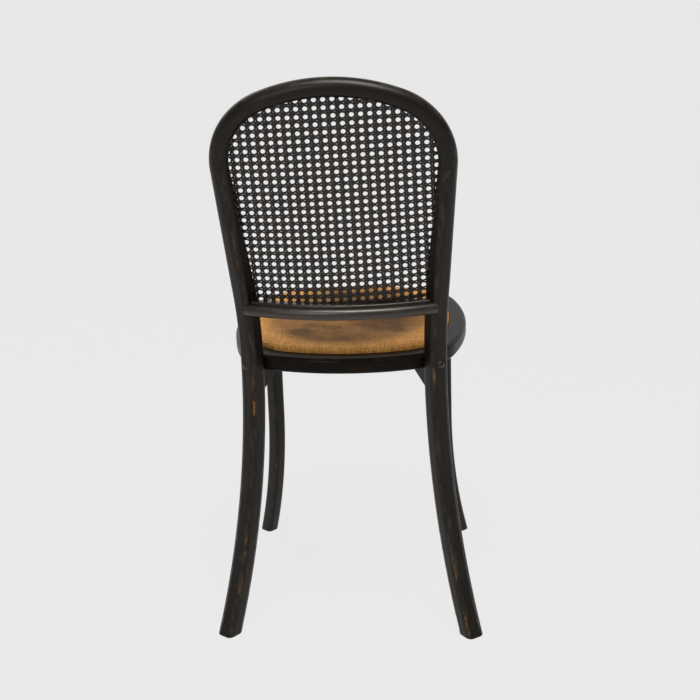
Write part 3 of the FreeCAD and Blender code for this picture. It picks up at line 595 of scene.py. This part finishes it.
def woven_back(material):
    """The six-way caning, one mesh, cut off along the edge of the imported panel."""
    chance = random.Random(CANE_SEED)
    bow = Bow()
    points = node_points("back_cane_panel")
    flat = [Vector((x, z)) for x, z in points[:, (0, 2)]]
    outline = np.array([flat[index][:] for index in convex_hull_2d(flat)])
    across = np.array([-math.cos(ROW_TURN), math.sin(ROW_TURN)]) * STRETCH_ACROSS
    upward = np.array([math.sin(COLUMN_TURN), math.cos(COLUMN_TURN)]) * STRETCH_UP
    origin = np.array(CANE_ORIGIN)
    reach = int(max(np.linalg.norm(outline - origin, axis=1)) / CANE_PITCH) + 2
    weave = Weave()

    def lay_strand(first, second, run_first, run_second, width, wave):
        """One strand through a lattice point, waved out of the sheet by its place."""
        start = origin + across * first + upward * second
        heading = across * run_first + upward * run_second
        span = clip_line(outline, start, heading)
        if span is None:
            return
        steps = max(3, int((span[1] - span[0]) / CANE_PITCH * STEPS_PER_PITCH))
        along = np.linspace(span[0], span[1], steps)
        x, z = (start[:, None] + heading[:, None] * along).reshape(2, -1)
        place_first = first + run_first * along
        place_second = second + run_second * along
        normals = bow.normal(x, z)
        centres = np.stack([x, bow.depth(x, z), z], axis=-1)
        offset = wave(place_first, place_second)
        centres = centres + normals * offset[:, None]
        weave.strand(centres, normals, width, CANE_THICKNESS, chance.random(), offset / SLANT_WAVE)

    def turn(place):
        return 2 * math.pi * place / CANE_PITCH

    slant = math.sqrt(0.5)
    for row in range(-reach, reach + 1):
        for member in (-1, 1):
            line = row * CANE_PITCH + member * PAIR_HALF_GAP
            lay_strand(line, 0.0, 0.0, 1.0, CANE_WIDTH,
                       lambda a, b, m=member: -m * PAIR_WAVE * np.sin(turn(b)))
            lay_strand(0.0, line, 1.0, 0.0, CANE_WIDTH * STRETCH_UP,
                       lambda a, b, m=member: m * PAIR_WAVE * np.sin(turn(a)))
    for row in range(-2 * reach, 2 * reach + 1):
        line = (row + 0.5) * CANE_PITCH
        lay_strand(line, 0.0, slant, slant, SLANT_WIDTH,
                   lambda a, b: SLANT_WAVE * np.cos(turn(a)))
        lay_strand(line, 0.0, -slant, slant, SLANT_WIDTH,
                   lambda a, b: -SLANT_WAVE * np.cos(turn(a)))
    return weave.make("caned_back", material)


# Twill of the seat: narrow strands over two and under one

TWILL_PITCH = 2.1 * MM
TWILL_WIDTH = 1.95 * MM
TWILL_THICKNESS = 0.6 * MM
TWILL_WAVE = 0.55 * MM
TWILL_REPEAT = 3
TWILL_SHIFT = 0.5
TWILL_SEED = 11
STEPS_PER_TWILL = 1.3
EDGE_ROUND = 7.0 * MM
EDGE_STEPS = 6
EDGE_MARGIN = 0.1 * MM
EDGE_WAVE = 0.35
SHORTEST_TWILL = 4 * EDGE_ROUND
WALL_SHARES = (0.0, 0.5)


def spot(fixed, line, place, height):
    """A point by a strand's own line, the place along it and the height; fixed is its axis."""
    point = [0.0, 0.0, height]
    point[fixed] = line
    point[1 - fixed] = place
    return point


class SeatForm:
    """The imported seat, on which the strands are laid just under the surface."""

    def __init__(self):
        self.tree = BVHTree.FromObject(NODES["woven_seat"], bpy.context.evaluated_depsgraph_get())
        self.low, self.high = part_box("woven_seat")
        self.middle = (self.low + self.high) / 2
        self.reach = max(self.high.x - self.low.x, self.high.y - self.low.y)
        self.sink = TWILL_WAVE + TWILL_THICKNESS / 2

    def edge(self, fixed, line, sign):
        """How far the seat reaches along a strand, at half the height of its wall."""
        height = (self.low.z + self.high.z - EDGE_ROUND) / 2
        start = spot(fixed, line, self.middle[1 - fixed] + sign * self.reach, height)
        heading = spot(fixed, 0.0, -sign, 0.0)
        hit = self.tree.ray_cast(Vector(start), Vector(heading))[0]
        return None if hit is None else hit[1 - fixed]

    def wall(self, fixed, line, place, shares):
        """Points and normals on the upright wall, at shares of its height."""
        foot = spot(fixed, line, place, self.low.z)
        outward = Vector((foot[0] - self.middle.x, foot[1] - self.middle.y, 0)).normalized()
        found = []
        for share in shares:
            foot[2] = self.low.z + share * (self.high.z - EDGE_ROUND - self.low.z)
            found.append((Vector(foot) - outward * self.sink, outward))
        return found

    def top(self, fixed, line, first, last):
        """Points and normals over the top, closest together round the edges."""
        flat_steps = int((last - first - 2 * EDGE_ROUND) / TWILL_PITCH * STEPS_PER_TWILL)
        shares = [1 - math.cos(math.pi / 2 * step / EDGE_STEPS) for step in range(EDGE_STEPS)]
        low_edge = [first + EDGE_ROUND * share for share in shares]
        high_edge = [last - EDGE_ROUND * share for share in shares[::-1]]
        flat = np.linspace(first + EDGE_ROUND, last - EDGE_ROUND, flat_steps).tolist()
        found = []
        for place in low_edge + flat + high_edge:
            inside = min(max(place, first + EDGE_MARGIN), last - EDGE_MARGIN)
            above = spot(fixed, line, inside, self.high.z + EDGE_ROUND)
            hit, normal, _, _ = self.tree.ray_cast(Vector(above), Vector((0, 0, -1)))
            if hit is not None:
                found.append((hit - normal * self.sink, normal))
        return found

    def path(self, fixed, line, first, last):
        """From the foot of one edge, over the top, to the foot of the other."""
        found = self.wall(fixed, line, first, WALL_SHARES)
        found += self.top(fixed, line, first, last)
        found += self.wall(fixed, line, last, WALL_SHARES[::-1])
        centres = np.array([centre[:] for centre, _ in found])
        normals = np.array([normal[:] for _, normal in found])
        return centres, normals


def woven_seat(material):
    """Both sets of strands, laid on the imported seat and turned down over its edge."""
    chance = random.Random(TWILL_SEED)
    seat = SeatForm()
    weave = Weave()
    for fixed in (0, 1):
        side = 1 if fixed == 0 else -1
        count = int((seat.high[fixed] - seat.low[fixed]) / TWILL_PITCH / 2)
        for number in range(-count, count + 1):
            line = seat.middle[fixed] + number * TWILL_PITCH
            first = seat.edge(fixed, line, -1)
            last = seat.edge(fixed, line, 1)
            if first is None or last is None or last - first < SHORTEST_TWILL:
                continue
            centres, normals = seat.path(fixed, line, first, last)
            places = (centres[:, 1 - fixed] - seat.middle[1 - fixed]) / TWILL_PITCH
            turn = 2 * math.pi / TWILL_REPEAT * (places + number - TWILL_SHIFT)
            wave = side * TWILL_WAVE * np.cos(turn)
            flat_part = normals[:, 2].clip(0.0, 1.0)
            offset = wave * (EDGE_WAVE + (1 - EDGE_WAVE) * flat_part)
            centres = centres + normals * offset[:, None]
            # lift also sets the rattan's painted shade where a strand dives under
            lift = wave / TWILL_WAVE * flat_part + 1 - flat_part
            weave.strand(centres, normals, TWILL_WIDTH, TWILL_THICKNESS, chance.random(), lift)
    return weave.make("twilled_seat", material)


# Floor and backdrop: flat ground, a quarter-round sweep and an upright wall

FLOOR_NEAR = 6.0
FLOOR_FAR = -3.0
SWEEP_RADIUS = 1.5
SWEEP_STEPS = 12
WALL_TOP = 6.0
STUDIO_HALF_WIDTH = 6.0


def studio():
    """A wide floor that sweeps up into a backdrop, behind the chair's front."""
    profile = [(FLOOR_NEAR, 0.0), (FLOOR_FAR, 0.0)]
    for step in range(1, SWEEP_STEPS + 1):
        angle = math.pi / 2 * step / SWEEP_STEPS
        profile.append((FLOOR_FAR - SWEEP_RADIUS * math.sin(angle),
                        SWEEP_RADIUS * (1 - math.cos(angle))))
    profile.append((FLOOR_FAR - SWEEP_RADIUS, WALL_TOP))
    points = [(x, y, z) for y, z in profile for x in (-STUDIO_HALF_WIDTH, STUDIO_HALF_WIDTH)]
    faces = [(2 * row, 2 * row + 1, 2 * row + 3, 2 * row + 2) for row in range(len(profile) - 1)]
    mesh = bpy.data.meshes.new("studio_floor")
    mesh.from_pydata(points, [], faces)
    mesh.polygons.foreach_set("use_smooth", [True] * len(mesh.polygons))
    mesh.materials.append(studio_finish("pale_paper", shown=0.95))
    floor = bpy.data.objects.new("studio_floor", mesh)
    bpy.context.scene.collection.objects.link(floor)


def dress(name, material):
    """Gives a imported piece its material."""
    item = NODES[name]
    item.data.materials.clear()
    item.data.materials.append(material)


# The photograph's view and light

bpy.context.scene.view_settings.view_transform = "Standard"
set_camera()
set_world(level=0.26)
softbox("top_softbox", (-0.2, 0.8, 2.6), width=1.1, depth=0.7, watts=42.0)
softbox("rear_softbox", (0.9, 2.6, 1.9), width=0.9, depth=1.2, watts=14.0)
softbox("front_softbox", (1.6, -2.2, 1.9), width=1.4, depth=1.4, watts=10.0)
studio()

# Wood, caps and fastenings; each leg's corner faces outward by its own turn

REAR_LEG_TURN = math.radians(37)
FRONT_LEG_TURN = math.radians(50)

for tag, side in (("left", 1), ("right", -1)):
    rear = stained_wood("rear_leg_stain_" + tag, leg_lay(side, REAR_LEG_TURN))
    dress("rear_leg_" + tag, rear)
    dress("rear_bracket_" + tag, rear)
    front = stained_wood("front_leg_stain_" + tag, leg_lay(side, FRONT_LEG_TURN))
    dress("front_leg_" + tag, front)
arch_low, arch_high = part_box("top_arch")
hoop_radius = (arch_high.x - arch_low.x) / 2
hoop_centre = arch_high.z - hoop_radius
hoop_stain = stained_wood("hoop_stain", hoop_lay(hoop_centre, hoop_radius), worn=0.12)
dress("top_arch", hoop_stain)
dress("back_cane_bead", hoop_stain)
ring_low, ring_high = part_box("seat_ring")
ring_middle = (ring_low + ring_high) / 2
ring_grain = ring_lay(ring_middle.y, ring_high.x)
dress("seat_ring", stained_wood("ring_stain", ring_grain, worn=0.7, sheen=0.10))
dress("back_rail", stained_wood("rail_stain", rail_lay, worn=0.25, sheen=0.8))
dress("bolt_caps", cap_finish())
beech = beech_finish()
for name in ("seat_board", "shoulder_dowels", "back_rail_dowels"):
    dress(name, beech)
steel = steel_finish()
for name in ("leg_bolts", "bolt_washers", "bolt_nuts", "bracket_screws", "seat_board_screws"):
    dress(name, steel)

# Woven pieces, in place of the plain sheets

back = woven_back(cane_finish())
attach(back, "root")
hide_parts("back_cane_panel")
seat = woven_seat(rattan_finish())
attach(seat, "root")
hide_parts("woven_seat")
